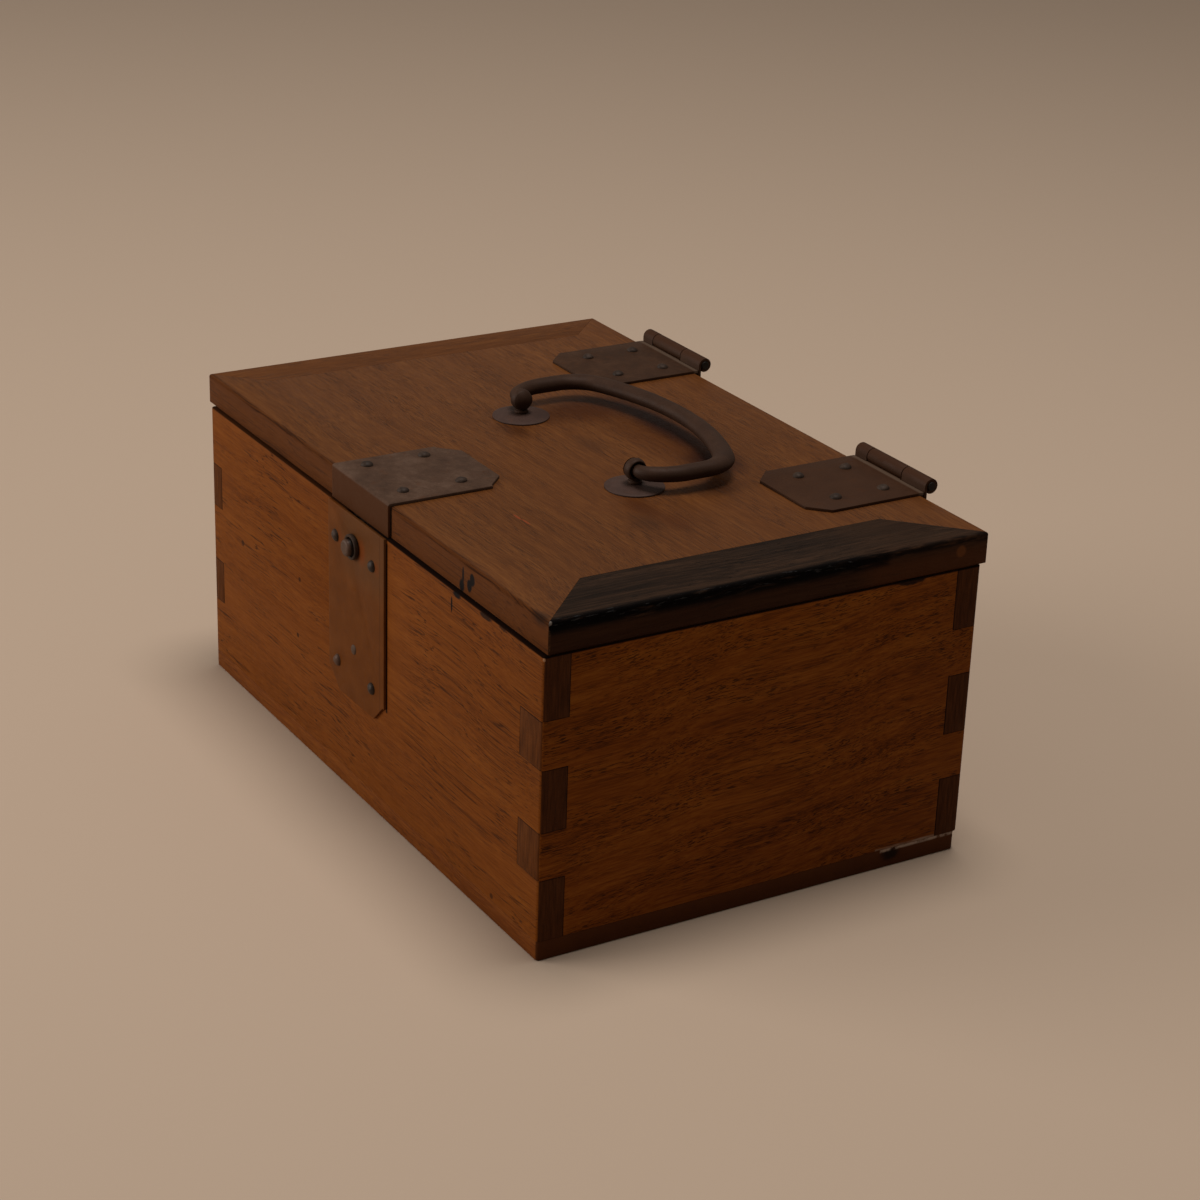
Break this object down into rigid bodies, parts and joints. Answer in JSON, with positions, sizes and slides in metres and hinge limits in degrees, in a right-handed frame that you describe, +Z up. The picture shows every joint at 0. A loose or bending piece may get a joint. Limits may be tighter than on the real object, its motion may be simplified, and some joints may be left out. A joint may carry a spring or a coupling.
{
  "type": "stamp box",
  "caption": "Rectangular finger-jointed wooden box with a hinged lid, sheet-iron strap hinges, a drop handle on top and a push-button latch at the front.",
  "frame": {"origin": "middle of the underside of the bottom board", "axes": "+X to the right along the long side, +Y from the front with the lock to the back with the hinges, +Z up"},
  "size_m": [0.2404, 0.1669, 0.1186],
  "materials": {
    "front_wood": "aged orange-brown softwood, fine cracks along the grain, thin worn polish",
    "back_wood": "as the front, a little duller",
    "end_wood": "darker brown, streaky grain",
    "bottom_wood": "dark brown, worn along its lower edge",
    "lid_wood": "brown with a greyish sheen, fine pores along the length",
    "strip_wood_left": "brown, grain across the lid",
    "strip_wood_right": "almost black, worn brown at the edges",
    "strap_iron": "old sheet iron, grey-brown patina",
    "plate_iron": "old sheet iron, reddish-brown patina",
    "nail_iron": "dark hammered heads",
    "steel_heads": "rubbed grey steel",
    "handle_iron": "forged iron, rubbed lighter on top",
    "latch_iron": "plain filed iron, hidden"
  },
  "bodies": {
    "box": {"bottom_board": "bottom_wood", "front_board": "front_wood", "back_board": "back_wood", "left_end_board": "end_wood", "right_end_board": "end_wood", "lock_plate": "plate_iron", "lock_plate_nails": "steel_heads", "latch_rivet": "plate_iron", "lock_collar": "steel_heads", "hinge_left_box_leaf": "strap_iron", "hinge_left_box_nails": "nail_iron", "hinge_left_pin": "strap_iron", "hinge_right_box_leaf": "strap_iron", "hinge_right_box_nails": "nail_iron", "hinge_right_pin": "strap_iron"},
    "lid": {"lid_panel": "lid_wood", "lid_end_left": "strip_wood_left", "lid_end_right": "strip_wood_right", "lid_end_peg": "strip_wood_right", "hasp_strap": "strap_iron", "hasp_nails": "nail_iron", "lid_striker": "latch_iron", "striker_rivets": "latch_iron", "rosette_left": "handle_iron", "rosette_right": "handle_iron", "handle_eye_left": "handle_iron", "handle_eye_right": "handle_iron", "hinge_left_lid_leaf": "strap_iron", "hinge_left_lid_nails": "nail_iron", "hinge_right_lid_leaf": "strap_iron", "hinge_right_lid_nails": "nail_iron"},
    "latch": {"latch_spring": "latch_iron", "latch_nose": "latch_iron", "lock_button": "steel_heads"},
    "bail": {"handle_bail": "handle_iron"}
  },
  "joints": [
    {"name": "lid_hinge", "type": "hinge", "parent": "box", "child": "lid", "pos_m": [0, 0.0828, 0.1115], "axis": [-1, 0, 0], "range_deg": [0, 180]},
    {"name": "latch_press", "type": "hinge", "parent": "box", "child": "latch", "pos_m": [-0.0025, -0.07325, 0.0526], "axis": [-1, 0, 0], "range_deg": [0, 2.4], "stiffness_Nm_per_rad": 2, "springref_deg": -171.89},
    {"name": "handle_swing", "type": "hinge", "parent": "lid", "child": "bail", "pos_m": [0, 0.001, 0.115], "axis": [1, 0, 0], "range_deg": [0, 180]}
  ]
}
